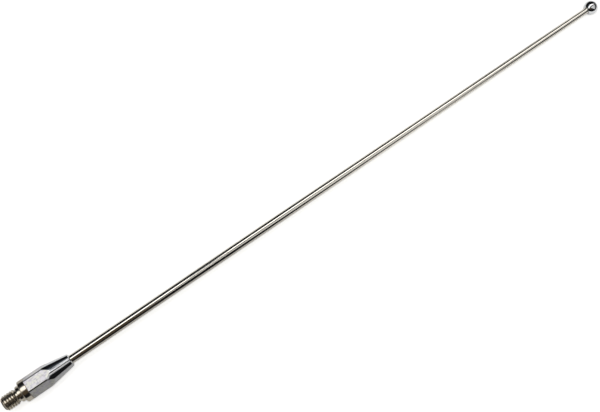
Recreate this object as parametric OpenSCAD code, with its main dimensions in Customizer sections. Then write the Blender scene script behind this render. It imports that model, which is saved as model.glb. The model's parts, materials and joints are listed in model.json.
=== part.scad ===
// A screw-in antenna mast for a car, lying on a table: the threaded stud, the hexagon
// ferrule that tapers down onto the whip, the whip rod, and the ball on its tip.
// Every piece is turned on the mast's axis. It is drawn upright, with station 0 where the
// stud's collar meets the hexagon, the stud below and the ball on top, and is then laid
// down with the ball towards +X.

/* [Threaded stud] */
// Outside diameter of the screw thread
thread_d = 6; // [5.2:0.1:6.2]
// Length of the screw thread, with its chamfered point
thread_len = 5.2; // [4:0.1:14]
// Size of the 45 degree chamfer on the point
point_chamfer = 1; // [0.5:0.1:1.2]
// Diameter of the relief groove behind the thread
relief_d = 4.8; // [4:0.1:5]
// Length of the relief groove at its floor
relief_len = 0.7; // [0.6:0.1:2]
// Radius in the corner between the relief groove and the shoulder
relief_fillet = 0.3; // [0.1:0.05:0.4]
// Diameter of the plain shoulder between the groove and the collar
shoulder_d = 6.3; // [6.2:0.1:6.6]
// Length of the plain shoulder
shoulder_len = 1.5; // [0.8:0.1:4]
// Rounding on the shoulder's leading edge and in its corner with the collar
shoulder_round = 0.2; // [0.1:0.05:0.3]
// Diameter of the collar that seats on the car's socket
collar_d = 8.7; // [8.4:0.1:9.2]
// Length of the collar
collar_len = 2.5; // [1.5:0.1:6]
// Rounding on the collar's leading edge
collar_round = 0.7; // [0.3:0.05:0.9]
// Diameter of the spigot that is pressed into the ferrule
spigot_d = 5; // [4.4:0.1:5.4]
// Length of the spigot
spigot_len = 6; // [4:0.1:9]

/* [Hexagon ferrule] */
// Width of the hexagon across its flats
across_flats = 8; // [8:0.1:11]
// Length of the full hexagon, to where its corners start to be turned away
hex_len = 7.2; // [4:0.1:11]
// Break on the hexagon's corners beside the collar
corner_break = 0.2; // [0.1:0.05:0.4]
// Angle to the axis at which the corners are turned away
corner_angle = 15; // [13:1:30]
// Height above the flats at which the corner cut gives way to the long taper
taper_start = 0.2; // [0.1:0.05:0.4]
// Radius that blends the corner cut into the long taper
taper_blend = 4; // [1:0.5:6]
// Length of the whole ferrule
ferrule_len = 18.3; // [17.5:0.1:40]
// Diameter of the taper at its nose
nose_d = 5.2; // [4.8:0.1:6]
// Chamfer round the nose
nose_chamfer = 0.35; // [0.1:0.05:0.4]

/* [Whip rod] */
// Diameter of the whip rod in the ferrule and along its parallel stretch
rod_d = 3.5; // [2.8:0.1:3.9]
// Diameter that the rod tapers down to, where it enters the ball
tip_d = 2.6; // [2:0.1:3.2]
// Length of the rod that shows between the ferrule and the ball
whip_len = 251.5; // [120:0.5:500]
// Length beyond the ferrule that stays parallel before the taper
parallel_len = 95; // [20:1:220]
// Chamfer on both ends of the rod
rod_chamfer = 0.3; // [0.1:0.05:0.5]

/* [Ball tip] */
// Diameter of the ball
ball_d = 6; // [5.4:0.1:9]
// Diameter of the flat that is faced on the ball round the rod
ball_flat_d = 3.6; // [3.4:0.1:4.6]
// Depth of the bore in the ball
ball_bore = 3.4; // [2:0.1:4]

/* [Fits] */
// Gap all round a pushed-in end, filled with braze on the real mast
braze_gap = 0.02; // [0.01:0.01:0.1]

/* [Hidden] */

// Short chords in each rounded corner of a turned outline
ROUND_STEPS = 6;
// How far cutting shapes run past the faces that they cut
PAST = 1;
$fn = 96;

// Stations along the axis
collar_z = -collar_len;
relief_end_z = collar_z - shoulder_len;
relief_start_z = relief_end_z - relief_len;
thread_end_z = relief_start_z - (thread_d - relief_d) / 2;
point_z = thread_end_z - thread_len;
nose_z = ferrule_len;
parallel_end_z = nose_z + parallel_len;
ball_flat_z = nose_z + whip_len;
ball_z = ball_flat_z + sqrt(pow(ball_d / 2, 2) - pow(ball_flat_d / 2, 2));
rod_end_z = ball_flat_z + ball_bore;

// The ferrule's turned outline: the corner cut, then the long taper to the nose
corner_r = across_flats / sqrt(3);
taper_r = across_flats / 2 + taper_start;
taper_z = hex_len + (corner_r - taper_r) / tan(corner_angle);
taper_slope = (taper_r - nose_d / 2) / (nose_z - nose_chamfer - taper_z);
flat_end_z = taper_z + taper_start / taper_slope;

// The mast leans towards its ball, on the ball and whichever of these rests stands lowest.
// Each is [radius, station].
RESTS = [
    [collar_d / 2, collar_z + collar_round],
    [collar_d / 2, 0],
    [across_flats / 2, corner_break],
    [across_flats / 2, flat_end_z],
];

// Lean at which both the ball and one rest touch the table
function lean_onto(rest) =
    let (reach = ball_z - rest[1])
    acos(ball_d / 2 / norm([rest[0], reach])) - atan2(reach, rest[0]);

lean = max([for (rest = RESTS) lean_onto(rest)]);
point_r = thread_d / 2 - point_chamfer;
axis_height = ball_d / 2 + ball_z * sin(lean);
min_x = point_z * cos(lean) - point_r * abs(sin(lean));
max_x = ball_z * cos(lean) + ball_d / 2;

// Laid along +X with a flat of the hexagon down, centred over the origin
module laid_down() {
    translate([-(min_x + max_x) / 2, 0, axis_height])
        rotate([0, 90 + lean, 0]) children();
}

function unit(v) = v / norm(v);

// The corner at b between a and c as an arc of radius r, or the bare corner where r is 0
function corner(a, b, c, r) =
    r == 0 ? [b] :
    let (
        to_a = unit(a - b),
        to_c = unit(c - b),
        half = acos(to_a * to_c) / 2,
        centre = b + unit(to_a + to_c) * r / sin(half),
        first = b + to_a * r / tan(half) - centre,
        last = b + to_c * r / tan(half) - centre,
        from = atan2(first[1], first[0]),
        turn = (atan2(last[1], last[0]) - from + 540) % 360 - 180
    )
    [for (i = [0:ROUND_STEPS])
        let (at = from + turn * i / ROUND_STEPS) centre + r * [cos(at), sin(at)]];

// Turns a solid from a list of [radius, station, corner radius]
module turned(stops) {
    points = [for (s = stops) [s[0], s[1]]];
    n = len(stops);
    rotate_extrude() polygon([for (i = [0:n - 1])
        each corner(points[(i + n - 1) % n], points[i], points[(i + 1) % n], stops[i][2])]);
}

// A straight round bore from one station to another
module bore(d, from_z, to_z) {
    translate([0, 0, from_z]) cylinder(d = d, h = to_z - from_z);
}

// The stud: its thread at full diameter, relief groove, shoulder, collar and spigot
module threaded_stud() {
    color("rosybrown") laid_down() turned([
        [0, point_z, 0],
        [point_r, point_z, 0],
        [thread_d / 2, point_z + point_chamfer, 0],
        [thread_d / 2, thread_end_z, 0],
        [relief_d / 2, relief_start_z, 0],
        [relief_d / 2, relief_end_z, relief_fillet],
        [shoulder_d / 2, relief_end_z, shoulder_round],
        [shoulder_d / 2, collar_z, shoulder_round],
        [collar_d / 2, collar_z, collar_round],
        [collar_d / 2, 0, 0],
        [spigot_d / 2, 0, 0],
        [spigot_d / 2, spigot_len, 0],
        [0, spigot_len, 0],
    ]);
}

// The outline that the hexagon bar is turned to. It starts wider than the bar's corners,
// so the corner cut runs out over the flats in arcs.
module ferrule_turning() {
    outer_r = corner_r + PAST;
    turned([
        [0, 0, 0],
        [corner_r - corner_break, 0, 0],
        [outer_r, corner_break + PAST, 0],
        [outer_r, taper_z - (outer_r - taper_r) / tan(corner_angle), 0],
        [taper_r, taper_z, taper_blend],
        [nose_d / 2, nose_z - nose_chamfer, 0],
        [nose_d / 2 - nose_chamfer, nose_z, 0],
        [0, nose_z, 0],
    ]);
}

// The ferrule: hexagon bar with a flat down, turned to its taper and bored from both ends
module hex_ferrule() {
    color("lightsteelblue") laid_down() difference() {
        intersection() {
            rotate(30) cylinder(r = corner_r, h = nose_z, $fn = 6);
            ferrule_turning();
        }
        bore(spigot_d + 2 * braze_gap, -PAST, spigot_len);
        bore(rod_d + 2 * braze_gap, spigot_len - PAST, nose_z + PAST);
    }
}

// The whip: one straight rod from the stud's spigot to the bottom of the ball's bore, ground
// to a long taper over its outer part
module whip_rod() {
    color("silver") laid_down() turned([
        [0, spigot_len, 0],
        [rod_d / 2 - rod_chamfer, spigot_len, 0],
        [rod_d / 2, spigot_len + rod_chamfer, 0],
        [rod_d / 2, parallel_end_z, 0],
        [tip_d / 2, ball_flat_z, 0],
        [tip_d / 2, rod_end_z - rod_chamfer, 0],
        [tip_d / 2 - rod_chamfer, rod_end_z, 0],
        [0, rod_end_z, 0],
    ]);
}

// The ball: faced flat where the rod goes in, with a blind bore
module ball_tip() {
    color("gainsboro") laid_down() difference() {
        translate([0, 0, ball_z]) sphere(d = ball_d);
        bore(ball_d + PAST, ball_flat_z - ball_d, ball_flat_z);
        bore(tip_d + 2 * braze_gap, ball_flat_z - PAST, rod_end_z);
    }
}

threaded_stud();
hex_ferrule();
whip_rod();
ball_tip();
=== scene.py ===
"""Looks of a screw-in car antenna mast: threaded stud, hexagon ferrule, whip rod and ball.

Every visible piece is a skin of rings round the mast's own axis, worked out with numpy, and
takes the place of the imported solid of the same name. All lengths are in metres.
"""

import json
import logging
import math
from dataclasses import dataclass
from enum import Enum
from typing import Any, Sequence

import bpy
import numpy as np
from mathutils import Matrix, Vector


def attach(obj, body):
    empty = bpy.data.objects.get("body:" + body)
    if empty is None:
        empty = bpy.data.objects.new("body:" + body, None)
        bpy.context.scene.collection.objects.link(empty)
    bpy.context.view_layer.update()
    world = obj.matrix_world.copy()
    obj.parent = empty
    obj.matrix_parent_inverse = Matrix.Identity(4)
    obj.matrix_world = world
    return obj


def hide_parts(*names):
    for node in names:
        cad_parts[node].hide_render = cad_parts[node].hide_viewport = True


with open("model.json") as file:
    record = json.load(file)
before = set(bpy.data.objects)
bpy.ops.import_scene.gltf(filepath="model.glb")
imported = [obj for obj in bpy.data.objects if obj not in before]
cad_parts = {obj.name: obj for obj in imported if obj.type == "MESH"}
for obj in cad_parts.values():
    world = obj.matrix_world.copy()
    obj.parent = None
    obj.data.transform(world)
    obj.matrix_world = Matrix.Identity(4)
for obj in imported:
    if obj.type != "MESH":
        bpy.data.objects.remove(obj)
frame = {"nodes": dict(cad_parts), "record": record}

LOG = logging.getLogger("antenna")
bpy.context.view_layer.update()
MM = 0.001
# Stations and radii that differ by less than this are the same
SAME = 1e-9
# Angle that one flat of the hexagon takes up
SIXTH = math.pi / 3.0

Colour = tuple[float, float, float]


# The mast's axis and its skins

@dataclass(frozen=True)
class Mast:
    """The line that every piece is turned on, with stations measured from the collar's seam."""

    seam: np.ndarray  # The point on the axis where the collar meets the hexagon
    along: np.ndarray  # Unit vector from the stud to the ball
    side: np.ndarray  # Unit vector across the mast, level with the table
    top: np.ndarray  # Unit vector across the mast, away from the table

    @classmethod
    def from_frame(cls) -> "Mast":
        """Reads the axis from the stud's mount and the seam from the ferrule's back face.

        Returns:
            The mast as it lies in the row frame.
        """
        mount = next(m for m in frame["record"]["mounts"] if m["name"] == "stud_thread")
        along = -np.array(mount["axis"], dtype=float)
        along /= np.linalg.norm(along)
        side = np.array([0.0, 1.0, 0.0])
        top = np.cross(along, side)
        point = np.array(mount["pos_m"], dtype=float)
        stations = (points_of("hex_ferrule") - point) @ along
        return cls(point + along * stations.min(), along, side, top)

    def span(self, node: str) -> tuple[float, float]:
        """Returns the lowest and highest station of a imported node."""
        stations = (points_of(node) - self.seam) @ self.along
        return float(stations.min()), float(stations.max())

    def place(self, radius: np.ndarray, turn: np.ndarray, station: np.ndarray) -> np.ndarray:
        """Places rings round the axis: seam + along * station + radius * (top, side turned).

        Args:
            radius: Distance from the axis.
            turn: Angle round the axis in radians, from straight up towards the far side.
            station: Distance along the axis from the seam.

        Returns:
            Points in the row frame, with the coordinates on the last axis.
        """
        across = np.cos(turn)[..., None] * self.top + np.sin(turn)[..., None] * self.side
        return self.seam + station[..., None] * self.along + radius[..., None] * across


def points_of(node: str) -> np.ndarray:
    """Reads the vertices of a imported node.

    Args:
        node: The node's name.

    Returns:
        Rows of x, y, z.
    """
    vertices = frame["nodes"][node].data.vertices
    flat = np.empty(len(vertices) * 3)
    vertices.foreach_get("co", flat)
    return flat.reshape(-1, 3)


def even_turns(count: int) -> np.ndarray:
    """Returns evenly spaced angles once round, in radians, from zero."""
    return np.arange(count) * (2.0 * math.pi / count)


def all_round(shape: np.ndarray, columns: int) -> tuple[np.ndarray, np.ndarray]:
    """Carries an outline round the axis unchanged.

    Args:
        shape: Rows of radius and station.
        columns: Facets once round.

    Returns:
        The radius and the station of every point, one row for each row of the outline.
    """
    wide = np.ones((1, columns))
    return shape[:, :1] * wide, shape[:, 1:] * wide


def mesh_object(name: str, points: np.ndarray, faces: list[list[int]]) -> bpy.types.Object:
    """Makes an object at the origin, unturned and unscaled, and adds it to the scene.

    Args:
        name: The name of the object and of its mesh.
        points: Rows of x, y, z.
        faces: The point numbers of each face's corners.

    Returns:
        The new object.
    """
    mesh = bpy.data.meshes.new(name)
    mesh.from_pydata(points.tolist(), [], faces)
    made = bpy.data.objects.new(name, mesh)
    bpy.context.scene.collection.objects.link(made)
    return made


def skin(name: str, mast: Mast, radius: np.ndarray, station: np.ndarray, turns: np.ndarray,
         loop: bool = False, marks: dict[str, np.ndarray] | None = None) -> bpy.types.Object:
    """Makes a closed mesh from rings, where row i, column j lies at radius and station [i, j].

    The rows run along the outline from the stud's end to the ball's end on the outside, which
    makes every face point out of the metal. The first and last rows close to a point on the
    axis, or onto each other where the outline is a loop round a through bore.

    Args:
        name: The piece's name.
        mast: The axis that the rings lie round.
        radius: Ring radii, one row for each point of the outline.
        station: Ring stations, of the same shape.
        turns: The angle of each column in radians.
        loop: Whether the last row joins the first.
        marks: Values for each point, kept on the mesh for the finish to read.

    Returns:
        The new object.
    """
    rows, columns = radius.shape
    points = mast.place(radius, np.broadcast_to(turns, radius.shape), station).reshape(-1, 3)
    ids = np.arange(rows * columns).reshape(rows, columns)
    after = np.roll(ids, -1, axis=1)
    strips = rows if loop else rows - 1
    corners = [np.roll(ids, -1, axis=0), np.roll(after, -1, axis=0), after, ids]
    faces = np.stack([c[:strips] for c in corners], axis=-1).reshape(-1, 4).tolist()
    values = {key: value.reshape(-1) for key, value in (marks or {}).items()}
    if not loop:
        pole = np.full(columns, len(points))
        faces += np.stack([pole, after[0], ids[0]], axis=-1).tolist()
        faces += np.stack([ids[-1], after[-1], pole + 1], axis=-1).tolist()
        ends = np.array([station[0].mean(), station[-1].mean()])
        points = np.concatenate([points, mast.place(np.zeros(2), np.zeros(2), ends)])
        values = {key: np.concatenate([v, [v[0], v[-1]]]) for key, v in values.items()}
    piece = mesh_object(name, points, faces)
    mesh = piece.data
    mesh.polygons.foreach_set("use_smooth", np.ones(len(mesh.polygons), dtype=bool))
    for key, value in values.items():
        layer = mesh.attributes.new(key, "FLOAT", "POINT")
        layer.data.foreach_set("value", value.astype(np.float32))
    mesh.update()
    return piece


@dataclass(frozen=True)
class Stop:
    """One corner of a turned outline."""

    radius: float  # Distance from the axis
    station: float  # Distance along the axis
    round: float = 0.03 * MM  # Radius of the corner, at least a broken edge


def outline(stops: Sequence[Stop], steps: int = 6, pad: float = 0.25) -> np.ndarray:
    """Rounds the corners of a turned outline.

    Each inner corner becomes an arc that is tangent to both sides, with one more point a
    little way down each side, so that the flats beside it keep their own shading.

    Args:
        stops: The corners, from one end to the other.
        steps: Chords in each arc.
        pad: How far down each side the extra point lies, as a share of the arc's reach.

    Returns:
        Rows of radius and station.
    """
    corners = np.array([(s.radius, s.station) for s in stops])
    share = np.linspace(0.0, 1.0, steps + 1)[:, None]
    parts = [corners[:1]]
    for before, corner, beyond, stop in zip(corners, corners[1:], corners[2:], stops[1:]):
        back, ahead = before - corner, beyond - corner
        room = 0.5 * min(np.linalg.norm(back), np.linalg.norm(ahead))
        back, ahead = back / np.linalg.norm(back), ahead / np.linalg.norm(ahead)
        half = 0.5 * math.acos(float(np.clip(back @ ahead, -1.0, 1.0)))
        reach = min(stop.round / math.tan(half), room / (1.0 + pad))
        middle = (back + ahead) / np.linalg.norm(back + ahead)
        centre = corner + middle * reach / math.cos(half)
        first, last = back * reach + corner - centre, ahead * reach + corner - centre
        sweep = math.pi - 2.0 * half
        arc = (np.sin((1.0 - share) * sweep) * first + np.sin(share * sweep) * last) / math.sin(sweep)
        parts += [(corner + back * reach * (1.0 + pad))[None], centre + arc,
                  (corner + ahead * reach * (1.0 + pad))[None]]
    parts.append(corners[-1:])
    return np.concatenate(parts)


def soft_min(a: np.ndarray, b: np.ndarray, blend: float) -> np.ndarray:
    """Returns the smaller of a and b, eased over a difference of blend."""
    near = np.clip(1.0 - np.abs(a - b) / blend, 0.0, 1.0)
    return np.minimum(a, b) - near * near * blend * 0.25


# Shader maths

class Value:
    """A socket of a node tree, with arithmetic that adds Math nodes."""

    def __init__(self, tree: "Tree", socket: bpy.types.NodeSocket) -> None:
        """Keeps the socket and the tree that it belongs to."""
        self.tree = tree
        self.socket = socket

    def _math(self, operation: str, *terms: "Value | float") -> "Value":
        """Adds a Math node over the terms and returns its result."""
        return self.tree.add("ShaderNodeMath", {"operation": operation}, dict(enumerate(terms)))

    def __add__(self, other: "Value | float") -> "Value":
        """Returns the sum."""
        return self._math("ADD", self, other)

    def __sub__(self, other: "Value | float") -> "Value":
        """Returns the difference."""
        return self._math("SUBTRACT", self, other)

    def __rsub__(self, other: "Value | float") -> "Value":
        """Returns the difference, turned round."""
        return self._math("SUBTRACT", other, self)

    def __mul__(self, other: "Value | float") -> "Value":
        """Returns the product."""
        return self._math("MULTIPLY", self, other)

    __radd__ = __add__
    __rmul__ = __mul__

    def clamp(self) -> "Value":
        """Returns the value held between 0 and 1."""
        return self.tree.add("ShaderNodeClamp", {}, {"Value": self})

    def ramp(self, low: float, high: float) -> "Value":
        """Returns 0 at low, 1 at high and a smooth rise between them."""
        return self.tree.add("ShaderNodeMapRange", {"interpolation_type": "SMOOTHSTEP"},
                             {"Value": self, "From Min": low, "From Max": high})


class Tree:
    """The node tree of a material or a world, filled by one method."""

    def __init__(self, owner: bpy.types.Material | bpy.types.World) -> None:
        """Switches the owner to nodes and empties its tree."""
        owner.use_nodes = True
        self.owner = owner
        self.nodes = owner.node_tree
        self.nodes.nodes.clear()

    def add(self, kind: str, settings: dict[str, Any], inputs: dict[Any, Any],
            output: int | str = 0) -> Value:
        """Adds a node, its settings first and then its inputs.

        Args:
            kind: The node's type.
            settings: Properties of the node itself.
            inputs: Values or links for its sockets, by name or number.
            output: The socket to return.

        Returns:
            The chosen output, or the first input of a node that has no outputs.
        """
        node = self.nodes.nodes.new(kind)
        for key, value in settings.items():
            setattr(node, key, value)
        for key, value in inputs.items():
            if isinstance(value, Value):
                self.nodes.links.new(value.socket, node.inputs[key])
            else:
                node.inputs[key].default_value = value
        return Value(self, node.outputs[output] if node.outputs else node.inputs[0])

    def mix(self, share: Value, low: Value | Colour, high: Value | Colour) -> Value:
        """Blends two colours.

        Args:
            share: 0 where the low colour shows, 1 where the high one does.
            low: A colour or a link to one.
            high: A colour or a link to one.

        Returns:
            The blended colour.
        """
        low, high = (c if isinstance(c, Value) else (*c, 1.0) for c in (low, high))
        return self.add("ShaderNodeMix", {"data_type": "RGBA"}, {0: share, 6: low, 7: high}, 2)

    def vector(self, operation: str, *terms: Any, output: int | str = 0) -> Value:
        """Returns a Vector Math node's result over the terms."""
        return self.add("ShaderNodeVectorMath", {"operation": operation}, dict(enumerate(terms)), output)

    def scaled(self, vector: Any, scale: Value | float) -> Value:
        """Returns a vector times a number."""
        return self.add("ShaderNodeVectorMath", {"operation": "SCALE"}, {0: vector, "Scale": scale})

    def noise(self, where: Value, scale: float, detail: float = 3.0, rough: float = 0.5) -> Value:
        """Returns a noise pattern's height, from 0 to 1."""
        return self.add("ShaderNodeTexNoise", {},
                        {"Vector": where, "Scale": scale, "Detail": detail, "Roughness": rough})

    def attribute(self, name: str) -> Value:
        """Returns the value that a mesh keeps under a name."""
        return self.add("ShaderNodeAttribute", {"attribute_name": name}, {}, "Fac")

    def place(self) -> Value:
        """Returns the point's Object coordinates."""
        return self.add("ShaderNodeTexCoord", {}, {}, "Object")

    def coordinate(self, axis: int) -> Value:
        """Returns one Object coordinate: 0 is x and 1 is y."""
        return self.add("ShaderNodeSeparateXYZ", {}, {0: self.place()}, axis)

    def rays(self) -> tuple[Value, Value]:
        """Tells the rays that show a background from those that light things.

        Returns:
            1 for camera rays, and 1 for rays off mirrors and through glass.
        """
        seen, mirrored, through = (
            self.add("ShaderNodeLightPath", {}, {}, ray)
            for ray in ("Is Camera Ray", "Is Glossy Ray", "Is Transmission Ray"))
        return seen, mirrored + through

    def glow(self, colour: Colour, strength: Value | float) -> Value:
        """Returns a shader that gives light."""
        return self.add("ShaderNodeEmission", {}, {"Color": (*colour, 1.0), "Strength": strength})

    def surface(self, shader: Value) -> bpy.types.Material:
        """Makes a shader the surface of the material, which is returned."""
        self.add("ShaderNodeOutputMaterial", {}, {"Surface": shader})
        return self.owner


@dataclass(frozen=True)
class Position:
    """Where a point lies on the mast, as the shader sees it."""

    tree: Tree
    along: Value  # Station from the seam, in metres
    out: Value  # Distance from the axis, in metres
    cross: Value  # The part of the position that lies across the axis
    point: Value  # The point relative to the seam

    @classmethod
    def of(cls, tree: Tree, mast: Mast) -> "Position":
        """Works the station out as (P - seam) . along, and the rest from what remains.

        Args:
            tree: The node tree to add to.
            mast: The axis.

        Returns:
            The position's parts.
        """
        point = tree.vector("SUBTRACT", tree.place(), tuple(mast.seam))
        along = tree.vector("DOT_PRODUCT", point, tuple(mast.along), output="Value")
        cross = tree.vector("SUBTRACT", point, tree.scaled(tuple(mast.along), along))
        return cls(tree, along, tree.vector("LENGTH", cross, output="Value"), cross, point)

    def stretched(self, along: float, across: float) -> Value:
        """Returns pattern coordinates with their own scales along and across the axis."""
        offset = self.tree.add("ShaderNodeCombineXYZ", {}, {0: self.along * along})
        return self.tree.vector("ADD", offset, self.tree.scaled(self.cross, across))

    def turned(self, scale: float) -> Value:
        """Returns pattern coordinates that are the same all the way round each ring."""
        return self.tree.add("ShaderNodeCombineXYZ", {}, {0: self.along * scale, 1: self.out * scale})


class Grain(Enum):
    """Which way the fine tool marks run."""

    TURNED = "round the axis"
    BUFFED = "no one way"


@dataclass(frozen=True)
class Metal:
    """A bright metal finish with tool marks, haze and a little wear."""

    name: str
    tint: Colour  # Colour of its reflections
    shade: Colour  # Colour where the haze is thickest
    rough: float  # Roughness of the clean surface
    haze: float  # Roughness added by the haze
    grain: Grain  # Which way the tool marks run
    mark_pitch: float = 0.05 * MM  # Distance between tool marks
    mark_depth: float = 0.002 * MM  # Height of the tool marks in the bump
    mark_detail: float = 2.0  # Octaves in the tool marks
    least_rough: float = 0.75  # Share of the roughness that is there between the marks
    mark_rough: float = 0.5  # Share of the roughness that a full mark adds
    haze_scale: float = 0.35 / MM  # Patches of haze in a metre
    haze_range: tuple[float, float] = (0.42, 0.78)  # Pattern heights where it comes up

    def material(self, mast: Mast) -> bpy.types.Material:
        """Builds the finish as a node material.

        Args:
            mast: The axis that its patterns follow.

        Returns:
            The new material.
        """
        tree = Tree(bpy.data.materials.new(self.name))
        at = Position.of(tree, mast)
        marks = self.marks(at)
        haze = tree.noise(at.point, self.haze_scale, detail=4.0, rough=0.6).ramp(*self.haze_range)
        rough = haze * self.haze + marks * (self.rough * self.mark_rough) + self.rough * self.least_rough
        colour, rough = self.dress(at, tree.mix(haze, self.tint, self.shade), rough)
        height = marks * self.mark_depth + self.relief(at)
        normal = tree.add("ShaderNodeBump", {}, {"Strength": 1.0, "Distance": 1.0, "Height": height})
        return tree.surface(tree.add("ShaderNodeBsdfPrincipled", {}, {
            "Metallic": 1.0, "Base Color": colour, "Roughness": rough, "Normal": normal}))

    def marks(self, at: Position) -> Value:
        """Returns the tool marks as a height from 0 to 1."""
        fine = 1.0 / self.mark_pitch
        where, scale = (at.turned(fine), 1.0) if self.grain is Grain.TURNED else (at.point, fine)
        return at.tree.noise(where, scale, self.mark_detail)

    def relief(self, at: Position) -> Value | float:
        """Returns any larger unevenness, in metres."""
        return 0.0

    def dress(self, at: Position, colour: Value, rough: Value) -> tuple[Value, Value]:
        """Returns the colour and roughness with what only this finish has."""
        return colour, rough


@dataclass(frozen=True)
class FerruleChrome(Metal):
    """Chrome over hexagon bar: mirror bright where it was turned, satin on the drawn flats."""

    flat_rough: float = 0.3  # Roughness added on the flats
    dapple: float = 0.012 * MM  # Height of the gentle waves on the flats
    dapple_scale: tuple[float, float] = (1.1 / MM, 1.5 / MM)  # Waves in a metre along and across
    cool_cast: Colour = (0.64, 0.63, 0.68)  # Colour of the flats where the draw film looks cool
    warm_cast: Colour = (0.66, 0.665, 0.625)  # Colour of the flats where it looks warm
    cast_scale: float = 0.7 / MM  # Patches of warm and cool in a metre
    cast_range: tuple[float, float] = (0.42, 0.58)  # Pattern heights where cool turns to warm
    dull: Colour = (0.38, 0.37, 0.43)  # Colour of the duller flecks on the flats
    dull_cover: float = 0.8  # How much of the colour a fleck hides
    fleck_scale: tuple[float, float] = (1.5 / MM, 1.9 / MM)  # Flecks in a metre along and across
    fleck_range: tuple[float, float] = (0.47, 0.62)  # Pattern heights where a fleck comes up
    joint_shade: Colour = (0.16, 0.10, 0.07)  # Colour of the shade painted as a dark line in the joint beside the collar
    joint_shade_width: float = 0.16 * MM  # How far that line shows
    joint_shade_core: float = 0.3  # Share of that over which it is darkest
    joint_shade_rough: float = 0.3  # Roughness that it adds

    def relief(self, at: Position) -> Value:
        """Returns gentle waves that only the drawn flats have."""
        waves = at.tree.noise(at.stretched(*self.dapple_scale), 1.0, detail=2.0)
        return waves * at.tree.attribute("flat") * self.dapple

    def dress(self, at: Position, colour: Value, rough: Value) -> tuple[Value, Value]:
        """Adds the satin of the flats and a dark line of painted shade in the joint at the seam.

        Args:
            at: Where the point lies.
            colour: The mirror's colour.
            rough: The mirror's roughness.

        Returns:
            The colour and roughness of the ferrule.
        """
        tree = at.tree
        flat = tree.attribute("flat")
        fleck = tree.noise(at.stretched(*self.fleck_scale), 1.0, rough=0.6)
        cast = tree.noise(at.point, self.cast_scale, detail=2.0)
        satin = tree.mix(cast.ramp(*self.cast_range), self.cool_cast, self.warm_cast)
        satin = tree.mix(fleck.ramp(*self.fleck_range) * self.dull_cover, satin, self.dull)
        # Painted shade: a thin dark line along the joint with the collar, where shade falls between the
        # parts
        seam = at.along.ramp(self.joint_shade_width, self.joint_shade_core * self.joint_shade_width)
        colour = tree.mix(seam, tree.mix(flat, colour, satin), self.joint_shade)
        return colour, rough + flat * self.flat_rough + seam * self.joint_shade_rough


@dataclass(frozen=True)
class StudNickel(Metal):
    """Warm nickel with shade painted into the roots of the thread, in patches."""

    root_shade: Colour = (0.16, 0.13, 0.10)  # Colour of the painted shade in the roots
    root_shade_rough: float = 0.18  # Roughness added where the shade is painted
    root_shade_scale: float = 0.8 / MM  # Patches of painted shade in a metre
    root_shade_least: float = 0.5  # How much of the painted shade the lightest patches have
    root_shade_more: float = 0.6  # How much more the darkest patches have
    root: float = 2.4 * MM  # Distance from the axis at the bottom of the roots
    crest: float = 2.85 * MM  # Distance from the axis above which no shade is painted

    def dress(self, at: Position, colour: Value, rough: Value) -> tuple[Value, Value]:
        """Paints shade below the crests of the thread, in patches.

        Args:
            at: Where the point lies.
            colour: The clean metal's colour.
            rough: The clean metal's roughness.

        Returns:
            The colour and roughness of the stud.
        """
        tree = at.tree
        # Painted shade: the thread's roots are darkened in patches, where shade falls between the crests
        deep = at.out.ramp(self.crest, self.root) * tree.attribute("thread")
        root_shading = deep * (tree.noise(at.point, self.root_shade_scale) * self.root_shade_more + self.root_shade_least)
        return tree.mix(root_shading.clamp(), colour, self.root_shade), rough + root_shading * self.root_shade_rough


CHROME = FerruleChrome("ferrule_chrome", (0.62, 0.63, 0.65), (0.53, 0.54, 0.57),
                       rough=0.06, haze=0.05, grain=Grain.TURNED)
BALL_CHROME = Metal("ball_chrome", (0.71, 0.72, 0.74), (0.62, 0.63, 0.65),
                    rough=0.04, haze=0.04, grain=Grain.BUFFED)
NICKEL = StudNickel("stud_nickel", (0.74, 0.69, 0.60), (0.56, 0.50, 0.42),
                    rough=0.14, haze=0.10, grain=Grain.TURNED)
STEEL = Metal("rod_steel", (0.76, 0.735, 0.68), (0.70, 0.67, 0.61),
              rough=0.10, haze=0.03, grain=Grain.TURNED, mark_depth=0.0003 * MM)


# The pieces

@dataclass
class Piece:
    """A sub-assembly that builds its skin, takes a finish and rides on the mast."""

    mast: Mast  # The axis that the piece lies on
    node: str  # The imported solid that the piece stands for
    slot: str  # The record's material slot
    finish: Metal
    columns: int = 128  # Facets once round

    @property
    def name(self) -> str:
        """The name of the piece's object."""
        return f"{self.node}_skin"

    def build(self) -> bpy.types.Object:
        """Makes the piece's mesh."""
        raise NotImplementedError

    def dress(self, piece: bpy.types.Object) -> None:
        """Gives the piece its finish, hangs it on the root body and hides the imported solid that it
        stands for.

        Args:
            piece: The object that build made.
        """
        piece.data.materials.append(self.finish.material(self.mast))
        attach(piece, "root")
        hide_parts(self.node)


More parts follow.
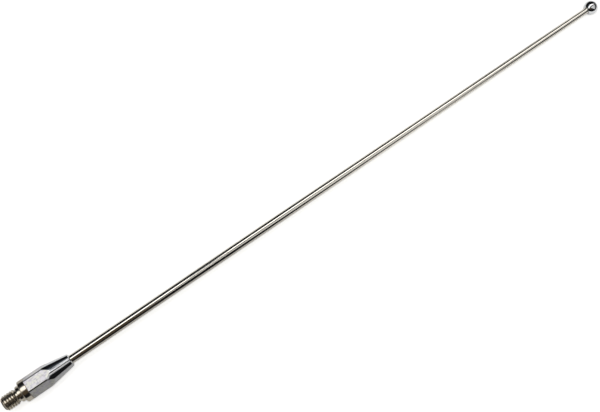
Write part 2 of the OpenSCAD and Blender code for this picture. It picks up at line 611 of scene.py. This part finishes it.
@dataclass
class ThreadedStud(Piece):
    """The turned stud: point, thread, relief groove, shoulder, collar and hidden spigot."""

    thread_r: float = 3.0 * MM  # Radius over the thread's crests
    pitch: float = 1.0 * MM  # Distance from crest to crest
    thread_depth: float = 0.6 * MM
    crest_share: float = 0.18  # Half width of a crest, as a share of the pitch
    flank_angle: float = 60.0  # Angle of the flanks to the axis, in degrees
    crest_ease: float = 0.05 * MM  # Ease of the crests' edges
    root_ease: float = 0.25 * MM  # Ease of the roots
    run_out: float = 0.02 * MM  # Ease between the thread and the chamfers at its ends
    point_chamfer: float = 1.0 * MM
    point_round: float = 0.05 * MM  # Rounding of the point's edge
    relief_r: float = 2.4 * MM  # Radius of the groove behind the thread
    relief_len: float = 0.7 * MM  # Length of the groove's floor
    relief_lead: float = 0.15 * MM  # Rounding where the thread's end runs into the groove
    relief_fillet: float = 0.3 * MM  # Radius in its corner with the shoulder
    shoulder_r: float = 3.15 * MM
    shoulder_len: float = 1.5 * MM
    shoulder_round: float = 0.2 * MM  # Rounding of its edge and of its corner with the collar
    collar_r: float = 4.35 * MM
    collar_len: float = 2.5 * MM
    collar_round: float = 0.7 * MM  # Rounding of the collar's leading edge
    seam_break: float = 0.1 * MM  # Break on the collar's edge beside the hexagon
    spigot_r: float = 2.5 * MM
    rows_per_turn: int = 36  # Rings in one turn of the thread

    @property
    def groove_start(self) -> float:
        """Station where the floor of the relief groove starts."""
        return -self.collar_len - self.shoulder_len - self.relief_len

    def thread_radius(self, turns: np.ndarray, station: np.ndarray) -> np.ndarray:
        """Works out the thread's radius from how far a point lies from the nearest crest.

        The crest runs along station = -pitch * turn / (2 pi), which is a right-handed helix.
        The flanks fall at 60 degrees to each other between a narrow crest and a rounded root.

        Args:
            turns: Angles round the axis.
            station: Stations along it.

        Returns:
            The radius of the thread's surface.
        """
        phase = station / self.pitch + turns / (2.0 * math.pi)
        away = np.abs((phase + 0.5) % 1.0 - 0.5) * self.pitch
        flank = (away - self.pitch * self.crest_share) * math.tan(math.radians(self.flank_angle))
        depth = -soft_min(-flank, np.zeros_like(flank), self.crest_ease)
        depth = soft_min(depth, np.full_like(depth, self.thread_depth), self.root_ease)
        return self.thread_r - depth

    def turning(self, low: float, high: float) -> np.ndarray:
        """Draws the stud's outline with its thread left plain.

        Args:
            low: Station of the point's face.
            high: Station of the spigot's face.

        Returns:
            Rows of radius and station.
        """
        collar = -self.collar_len
        groove_end = collar - self.shoulder_len
        thread_end = self.groove_start - (self.thread_r - self.relief_r)
        return outline([
            Stop(0.0, low),
            Stop(self.thread_r - self.point_chamfer, low, self.point_round),
            Stop(self.thread_r, low + self.point_chamfer),
            Stop(self.thread_r, thread_end),
            Stop(self.relief_r, self.groove_start, self.relief_lead),
            Stop(self.relief_r, groove_end, self.relief_fillet),
            Stop(self.shoulder_r, groove_end, self.shoulder_round),
            Stop(self.shoulder_r, collar, self.shoulder_round),
            Stop(self.collar_r, collar, self.collar_round),
            Stop(self.collar_r, 0.0, self.seam_break),
            Stop(self.spigot_r, 0.0),
            Stop(self.spigot_r, high),
            Stop(0.0, high),
        ])

    def build(self) -> bpy.types.Object:
        """Carries the outline round the axis and cuts the thread into its rings.

        Returns:
            The stud, whose points in the thread are marked.
        """
        low, high = self.mast.span(self.node)
        shape = self.turning(low, high)
        at = shape[:, 1]
        plain = shape[(at > low) & (at <= self.groove_start)]
        count = round((self.groove_start - low) / self.pitch * self.rows_per_turn)
        fine = np.linspace(low, self.groove_start, count)[1:-1]
        fine_rows = np.stack([np.interp(fine, plain[:, 1], plain[:, 0]), fine], axis=1)
        shape = np.concatenate([
            shape[at <= low + SAME][1:], fine_rows, shape[at > self.groove_start][:-1]])
        radius, station = all_round(shape, self.columns)
        turns = even_turns(self.columns)
        in_thread = (station > low + SAME) & (station <= self.groove_start)
        thread = soft_min(radius, self.thread_radius(turns, station), self.run_out)
        return skin(self.name, self.mast, np.where(in_thread, thread, radius), station, turns,
                    marks={"thread": in_thread.astype(float)})


@dataclass
class HexFerrule(Piece):
    """Hexagon bar, turned down to a long taper and bored from both ends."""

    apothem: float = 4.0 * MM  # Distance from the axis to a flat
    edge_round: float = 0.7 * MM  # Radius of the hexagon's long edges
    hex_len: float = 7.2 * MM  # Station at which the corners start to be turned away
    corner_break: float = 0.2 * MM  # Break on the corners beside the collar
    corner_angle: float = 15.0  # Angle of the corner cut to the axis, in degrees
    taper_start: float = 0.2 * MM  # Height above the flats at which the long taper takes over
    taper_blend: float = 4.0 * MM  # Radius between the corner cut and the long taper
    lathe_clear: float = 1.0 * MM  # How far outside the corners the lathe's outline starts
    nose_r: float = 2.6 * MM  # Radius of the taper at its nose
    nose_chamfer: float = 0.35 * MM
    nose_rounds: tuple[float, float] = (0.08 * MM, 0.05 * MM)  # Rounding of that chamfer's two edges
    rear_bore_r: float = 2.52 * MM  # Bore for the stud's spigot
    rear_bore_len: float = 6.0 * MM
    rod_bore_r: float = 1.77 * MM  # Bore for the rod
    rim: float = 0.03 * MM  # Ease of the edges of the arcs
    bright_rim: float = 0.018 * MM  # Depth of cut at a flat's end that stays mirror bright
    level_share: float = 0.9995  # Least height of a flat's own surface, as a share of the apothem
    flat_columns: int = 21  # Columns across a flat
    flat_share: float = 0.998  # How much of a flat they span
    edge_columns: int = 12  # Columns round an edge
    back_band: float = 0.3 * MM  # Length of the close rings beside the collar
    end_band: float = 0.22 * MM  # Half length of the close rings over a flat's end
    end_gap: float = 0.2 * MM  # Distance from the last of them to the plain taper
    rings: tuple[int, ...] = (8, 9, 16, 7)  # Rings in each stretch from the collar to the plain taper
    taper_rings: int = 19  # Rings in the first part of the plain taper

    @property
    def corner_r(self) -> float:
        """Distance from the axis to a sharp corner."""
        return self.apothem / math.cos(SIXTH / 2.0)

    @property
    def edge_turn(self) -> float:
        """Turn from a flat's middle to where the rounding of its edge starts."""
        return math.atan((self.apothem - self.edge_round) * math.tan(SIXTH / 2.0) / self.apothem)

    def from_flat(self, turns: np.ndarray) -> np.ndarray:
        """Returns each angle's distance from the middle of the nearest flat."""
        return np.abs((turns + SIXTH / 2.0) % SIXTH - SIXTH / 2.0)

    def bar_radius(self, turns: np.ndarray) -> np.ndarray:
        """Works out the radius of the hexagon bar with rounded edges.

        On a flat it is apothem / cos(turn from the flat's middle). Round a corner it is where
        a ray meets the edge's circle: c cos(d) + sqrt(r^2 - c^2 sin(d)^2), with c the circle's
        distance from the axis and d the turn from the corner.

        Args:
            turns: Angles round the axis, with a flat's middle straight up.

        Returns:
            The bar's radius at each angle.
        """
        from_flat = self.from_flat(turns)
        from_corner = SIXTH / 2.0 - from_flat
        centre = (self.apothem - self.edge_round) / math.cos(SIXTH / 2.0)
        inside = np.maximum(self.edge_round**2 - (centre * np.sin(from_corner))**2, 0.0)
        corner = centre * np.cos(from_corner) + np.sqrt(inside)
        return np.where(from_flat > self.edge_turn, corner, self.apothem / np.cos(from_flat))

    def turns(self) -> np.ndarray:
        """Spreads the columns, close together at the hexagon's edges.

        Returns:
            Angles once round.
        """
        edge = self.edge_turn
        flat = np.linspace(-edge, edge, self.flat_columns) * self.flat_share
        sector = np.concatenate([flat, np.linspace(edge, SIXTH - edge, self.edge_columns)])
        return np.concatenate([sector + SIXTH * i for i in range(6)])

    def turning(self, nose: float) -> np.ndarray:
        """Draws the outline of the lathe work.

        Args:
            nose: Station of the nose's face.

        Returns:
            Rows of radius and station, from the back face to the rod's bore.
        """
        taper_r = self.apothem + self.taper_start
        slope = math.tan(math.radians(self.corner_angle))
        outer_r = self.corner_r + self.lathe_clear
        taper_z = self.hex_len + (self.corner_r - taper_r) / slope
        return outline([
            Stop(self.corner_r - self.corner_break, 0.0),
            Stop(outer_r, self.corner_break + self.lathe_clear),
            Stop(outer_r, taper_z - (outer_r - taper_r) / slope),
            Stop(taper_r, taper_z, self.taper_blend),
            Stop(self.nose_r, nose - self.nose_chamfer, self.nose_rounds[0]),
            Stop(self.nose_r - self.nose_chamfer, nose, self.nose_rounds[1]),
            Stop(self.rod_bore_r, nose),
        ], steps=10)

    def outer_stations(self, lathe: np.ndarray, flat_end: np.ndarray) -> np.ndarray:
        """Spreads the rings of the outside, so that some follow each flat's own end.

        Args:
            lathe: The turned outline up to the nose's face, as rows of radius and station.
            flat_end: The station where each column's flat runs out.

        Returns:
            The station of every point.
        """
        columns = len(flat_end)
        taper_from = flat_end.max() + self.end_band + self.end_gap
        knots = [np.zeros(columns), np.full(columns, self.back_band), flat_end - self.end_band,
                 flat_end + self.end_band, np.full(columns, taper_from)]
        rings = [low + (high - low) * np.linspace(0.0, 1.0, count, endpoint=False)[:, None]
                 for count, low, high in zip(self.rings, knots, knots[1:])]
        taper = lathe[lathe[:, 1] >= taper_from, 1]
        first = np.linspace(taper_from, taper[0], self.taper_rings, endpoint=False)
        rings.append(np.concatenate([first, taper])[:, None] * np.ones((1, columns)))
        return np.concatenate(rings)

    def bores(self, nose: float) -> np.ndarray:
        """Draws both bores and the back face.

        Args:
            nose: Station of the nose's face.

        Returns:
            Rows of radius and station, from inside the nose's face to the back face's rim.
        """
        return outline([
            Stop(self.nose_r - self.nose_chamfer, nose),
            Stop(self.rod_bore_r, nose),
            Stop(self.rod_bore_r, self.rear_bore_len),
            Stop(self.rear_bore_r, self.rear_bore_len),
            Stop(self.rear_bore_r, 0.0),
            Stop(self.corner_r, 0.0),
        ])[1:-1]

    def build(self) -> bpy.types.Object:
        """Lays rings that follow each flat's own end, then the taper, the nose and the bores.

        Returns:
            The ferrule, whose points on the satin flats are marked.
        """
        nose = self.mast.span(self.node)[1]
        shape = self.turning(nose)
        turns = self.turns()
        bar = self.bar_radius(turns)
        before_nose = shape[:, 1] < nose - SAME
        lathe, face = shape[before_nose], shape[~before_nose][:-1]
        falling = lathe[np.argmax(lathe[:, 0]):][::-1]
        station = self.outer_stations(lathe, np.interp(bar, falling[:, 0], falling[:, 1]))
        lathe_r = np.interp(station, lathe[:, 1], lathe[:, 0])
        radius = soft_min(lathe_r, np.broadcast_to(bar, station.shape), self.rim)
        level = bar * np.cos(self.from_flat(turns)) > self.apothem * self.level_share
        flat = ((bar < lathe_r - self.bright_rim) & level).astype(float)
        inner_r, inner = all_round(np.concatenate([face, self.bores(nose)]), len(turns))
        return skin(self.name, self.mast, np.concatenate([radius, inner_r]),
                    np.concatenate([station, inner]), turns, loop=True,
                    marks={"flat": np.concatenate([flat, np.zeros_like(inner)])})


@dataclass
class WhipRod(Piece):
    """The whip: parallel from the ferrule, then ground to a slight taper up to the ball."""

    rod_r: float = 1.75 * MM  # Radius in the ferrule and along the parallel stretch
    tip_r: float = 1.3 * MM  # Radius where it enters the ball
    parallel: float = 95.0 * MM  # Length beyond the nose that stays parallel
    taper_round: float = 60.0 * MM  # Radius between the parallel stretch and the taper
    ferrule_len: float = 18.3 * MM  # Station of the ferrule's nose
    ball_seat: float = 3.4 * MM  # Length of the end that sits in the ball
    chamfer: float = 0.3 * MM  # On both ends

    def build(self) -> bpy.types.Object:
        """Carries the rod's outline round the axis.

        Returns:
            The rod.
        """
        low, high = self.mast.span(self.node)
        shape = outline([
            Stop(0.0, low),
            Stop(self.rod_r - self.chamfer, low),
            Stop(self.rod_r, low + self.chamfer),
            Stop(self.rod_r, self.ferrule_len + self.parallel, self.taper_round),
            Stop(self.tip_r, high - self.ball_seat),
            Stop(self.tip_r, high - self.chamfer),
            Stop(self.tip_r - self.chamfer, high),
            Stop(0.0, high),
        ])
        return skin(self.name, self.mast, *all_round(shape[1:-1], self.columns),
                    even_turns(self.columns))


@dataclass
class BallTip(Piece):
    """The ball: faced flat round the rod, with a blind bore."""

    ball_r: float = 3.0 * MM
    flat_r: float = 1.8 * MM  # Radius of the flat that is faced on it
    bore_r: float = 1.32 * MM
    bore_len: float = 3.4 * MM  # Depth of the bore from the flat
    lip: float = 0.06 * MM  # Rounding of the flat's two edges
    rings: int = 66  # Rings from the flat to the ball's far end
    lip_ring: int = 3  # The first ring beyond the flat's rounded edge

    def build(self) -> bpy.types.Object:
        """Carries the bore, the flat and then the sphere's arc round the axis.

        The arc's radius is ball_r sin(t), and its station centre + ball_r cos(t).

        Returns:
            The ball.
        """
        low, high = self.mast.span(self.node)
        centre = high - self.ball_r
        sweep = np.linspace(math.acos(-(centre - low) / self.ball_r), 0.0, self.rings)
        arc = np.stack([self.ball_r * np.sin(sweep), centre + self.ball_r * np.cos(sweep)], axis=1)
        arc = arc[self.lip_ring:]
        mouth = outline([
            Stop(0.0, low + self.bore_len),
            Stop(self.bore_r, low + self.bore_len),
            Stop(self.bore_r, low, self.lip),
            Stop(self.flat_r, low, self.lip),
            Stop(*arc[0]),
        ])
        shape = np.concatenate([mouth[1:-1], arc[:-1]])
        return skin(self.name, self.mast, *all_round(shape, self.columns), even_turns(self.columns))


# The studio

@dataclass(frozen=True)
class Rise:
    """A smooth rise of brightness over a coordinate."""

    start: float
    end: float
    gain: float  # How much it adds
    base: float  # How bright it is before it starts

    def over(self, place: Value) -> Value:
        """Returns the brightness at a coordinate."""
        return place.ramp(self.start, self.end) * self.gain + self.base


@dataclass(frozen=True)
class Panel:
    """A glowing sheet over the table, which the camera doesn't see."""

    name: str
    corners: tuple[tuple[float, float], ...]  # Its corners in order round the sheet, as x and y
    glow: float  # How bright it is
    colour: Colour  # Colour of its light
    fade: tuple[float, float] | None = None  # Where in x it comes up from dark
    height: float = 0.45  # How far above the table it hangs

    def build(self) -> None:
        """Hangs the sheet and makes it glow."""
        points = np.array([(x, y, self.height) for x, y in self.corners])
        sheet = mesh_object(self.name, points, [list(range(len(points)))])
        tree = Tree(bpy.data.materials.new(self.name))
        strength = tree.coordinate(0).ramp(*self.fade) * self.glow if self.fade else self.glow
        sheet.data.materials.append(tree.surface(tree.glow(self.colour, strength)))
        sheet.visible_camera = False


PANELS = (
    Panel("collar_panel", (
        (-0.6, -0.05), (-0.165, -0.05), (-0.165, 0.24), (-0.2, 0.3), (-0.215, 0.2), (-0.6, 0.2),
    ), glow=1.6, colour=(1.0, 0.985, 0.95)),
    Panel("base_panel", ((-0.165, 0.025), (-0.03, 0.03), (-0.03, 0.2), (-0.165, 0.19)),
          glow=2.3, colour=(1.0, 0.985, 0.96)),
    Panel("cone_panel", ((-0.03, -0.015), (0.002, -0.015), (0.002, 0.065), (-0.03, 0.065)),
          glow=1.7, colour=(1.0, 0.985, 0.97)),
    Panel("soft_edge_panel", ((-0.03, 0.065), (0.002, 0.065), (0.002, 0.16), (-0.03, 0.16)),
          glow=0.45, colour=(0.95, 0.97, 1.0)),
    Panel("rod_panel", (
        (0.002, 0.06), (0.1, 0.065), (0.35, 0.03), (1.2, 0.0), (1.2, 0.1), (0.5, 0.13),
        (0.35, 0.18), (0.1, 0.25), (0.002, 0.26),
    ), glow=2.2, colour=(1.0, 0.985, 0.96), fade=(1.1, 0.2)),
    Panel("spill_panel", ((-0.6, 0.15), (0.15, 0.15), (0.15, 0.5), (-0.6, 0.5)),
          glow=0.1, colour=(0.75, 0.85, 1.0), height=0.46),
    Panel("strip_panel", ((-0.08, -0.12), (0.002, -0.12), (0.002, -0.22), (-0.08, -0.21)),
          glow=1.15, colour=(1.0, 0.99, 0.96), fade=(-0.09, -0.04)),
    Panel("wedge_panel", (
        (0.002, -0.1), (0.002, -0.26), (0.05, -0.36), (0.18, -0.56), (0.4, -0.9), (0.55, -1.2),
        (0.85, -1.2), (1.1, -0.95), (1.1, -0.045), (0.1, -0.06),
    ), glow=0.78, colour=(1.0, 0.99, 0.96), fade=(1.2, 0.2)),
    Panel("warm_panel", ((-0.6, -0.05), (-0.6, -0.55), (-0.06, -0.55), (-0.06, -0.03)),
          glow=0.075, colour=(1.0, 0.74, 0.50), height=0.46),
)


@dataclass(frozen=True)
class Camera:
    """The photograph's camera."""

    azimuth: float = -35.594  # Which way it looks, in degrees
    elevation: float = 71.649  # How far above the table it stands, in degrees
    distance: float = 387.53 * MM  # From the camera to the point that it looks at
    target: tuple[float, float, float] = (-9.430 * MM, 0.484 * MM, 0.0)  # That point on the table
    lens_mm: float = 59.0  # Focal length
    frame_mm: float = 36.0  # Width of the frame that the focal length is for
    nearest: float = 0.01  # The nearest that it sees

    def build(self) -> None:
        """Stands the camera at the photograph's angle."""
        data = bpy.data.cameras.new("camera")
        data.lens = self.lens_mm
        data.sensor_width = self.frame_mm
        data.clip_start = self.nearest
        stand = bpy.data.objects.new("camera", data)
        bpy.context.scene.collection.objects.link(stand)
        a, e = math.radians(self.azimuth), math.radians(self.elevation)
        look = Vector((-math.sin(a) * math.cos(e), math.cos(a) * math.cos(e), -math.sin(e)))
        stand.location = Vector(self.target) - look * self.distance
        stand.rotation_euler = look.to_track_quat("-Z", "Y").to_euler()
        bpy.context.scene.camera = stand


@dataclass(frozen=True)
class Table:
    """The white table, which keeps the mast's shadow.

    The camera sees it white. The polished metal sees a pool of light on it, with its own
    brightness on the side towards the camera and on the far side.
    """

    reach: float = 1.55  # Half width of the table
    cloth: Colour = (0.86, 0.86, 0.85)  # Colour of its surface
    light: Colour = (1.0, 1.0, 0.99)  # Colour of its glow
    seen: Rise = Rise(0.1, 1.3, gain=0.22, base=0.77)  # How the camera sees it, over the distance
    near_pool: Rise = Rise(-0.05, 0.06, gain=0.45, base=0.1)  # The pool's near side, over x
    far_pool: Rise = Rise(-0.136, -0.130, gain=0.47, base=0.08)  # The pool's far side, over x
    middle: tuple[float, float] = (-0.008, 0.006)  # Where in y the one gives way to the other
    dim: float = 0.4  # How much the far side is dimmed beside the rod's last part
    dim_start: tuple[float, float] = (0.055, 0.10)  # Where in x that comes up
    dim_end: tuple[float, float] = (0.126, 0.133)  # Where in x it goes again
    shadow_reach: float = 0.014  # How near the mast the pool is shaded
    shadow_samples: int = 4  # Rays that look for the mast from each point

    def pool(self, tree: Tree) -> Value:
        """Works out how bright polished metal sees the table.

        Args:
            tree: The node tree to add to.

        Returns:
            The pool's brightness.
        """
        x, far = tree.coordinate(0), tree.coordinate(1).ramp(*self.middle)
        dimmed = x.ramp(*self.dim_start) * (1.0 - x.ramp(*self.dim_end))
        far_side = self.far_pool.over(x) - dimmed * self.dim
        under = tree.add("ShaderNodeAmbientOcclusion", {"samples": self.shadow_samples},
                         {"Distance": self.shadow_reach}, "AO")
        return (self.near_pool.over(x) * (1.0 - far) + far_side * far) * under

    def build(self) -> None:
        """Lays the table."""
        w = self.reach
        corners = np.array([(-w, -w, 0.0), (w, -w, 0.0), (w, w, 0.0), (-w, w, 0.0)])
        table = mesh_object("table", corners, [[0, 1, 2, 3]])
        tree = Tree(bpy.data.materials.new("table_white"))
        cloth = tree.add("ShaderNodeBsdfDiffuse", {}, {"Color": (*self.cloth, 1.0)})
        camera, mirror = tree.rays()
        white = self.seen.over(tree.vector("LENGTH", tree.place(), output="Value"))
        glow = tree.glow(self.light, camera * white + mirror * self.pool(tree))
        both = tree.add("ShaderNodeAddShader", {}, {0: cloth, 1: glow})
        table.data.materials.append(tree.surface(both))


@dataclass(frozen=True)
class Room:
    """The dim dome round the table, which bright metal mirrors as black."""

    radius: float = 1.6
    shade: Colour = (0.010, 0.010, 0.011)  # Colour of its walls
    columns: int = 48  # Facets once round
    rings: int = 12  # Rings from the table up

    def build(self) -> None:
        """Stands the dome up: r cos(lift) out and r sin(lift) up, with a lid over the last ring."""
        turns = even_turns(self.columns)
        lift = np.linspace(0.0, math.pi / 2.0, self.rings, endpoint=False)[:, None]
        across, up = self.radius * np.cos(lift), self.radius * np.sin(lift)
        points = np.stack([across * np.cos(turns), across * np.sin(turns), up * np.ones_like(turns)],
                          axis=-1).reshape(-1, 3)
        ids = np.arange(len(points)).reshape(self.rings, self.columns)
        after = np.roll(ids, -1, axis=1)
        walls = np.stack([ids[:-1], ids[1:], after[1:], after[:-1]], axis=-1).reshape(-1, 4)
        room = mesh_object("room", points, walls.tolist() + [ids[-1][::-1].tolist()])
        tree = Tree(bpy.data.materials.new("room_dim"))
        room.data.materials.append(tree.surface(tree.glow(self.shade, 1.0)))
        room.visible_camera = False


@dataclass(frozen=True)
class Studio:
    """A white table in a dim room, panels overhead, and the photograph's camera."""

    parts: tuple[Camera | Table | Room | Panel, ...] = (Camera(), Table(), Room(), *PANELS)

    def build(self) -> None:
        """Sets the whole studio up."""
        for part in self.parts:
            part.build()
        self.backdrop()
        bpy.context.scene.view_settings.view_transform = "Standard"

    def backdrop(self) -> None:
        """Makes the background white for the camera, mirrors and glass."""
        world = bpy.data.worlds.new("studio")
        bpy.context.scene.world = world
        tree = Tree(world)
        camera, mirror = tree.rays()
        white = tree.add("ShaderNodeBackground", {},
                         {"Color": (1.0, 1.0, 1.0, 1.0), "Strength": camera + mirror})
        tree.add("ShaderNodeOutputWorld", {}, {"Surface": white})


def main() -> None:
    """Builds the studio and the four pieces in order."""
    logging.basicConfig(level=logging.INFO, format="%(name)s: %(message)s")
    Studio().build()
    mast = Mast.from_frame()
    pieces: list[Piece] = [
        ThreadedStud(mast, "threaded_stud", "stud_nickel", NICKEL, columns=144),
        HexFerrule(mast, "hex_ferrule", "ferrule_chrome", CHROME),
        WhipRod(mast, "whip_rod", "rod_steel", STEEL, columns=96),
        BallTip(mast, "ball_tip", "ball_chrome", BALL_CHROME),
    ]
    for part in pieces:
        made = part.build()
        part.dress(made)
        LOG.info("%s: %d faces", made.name, len(made.data.polygons))


if __name__ == "__main__":
    main()
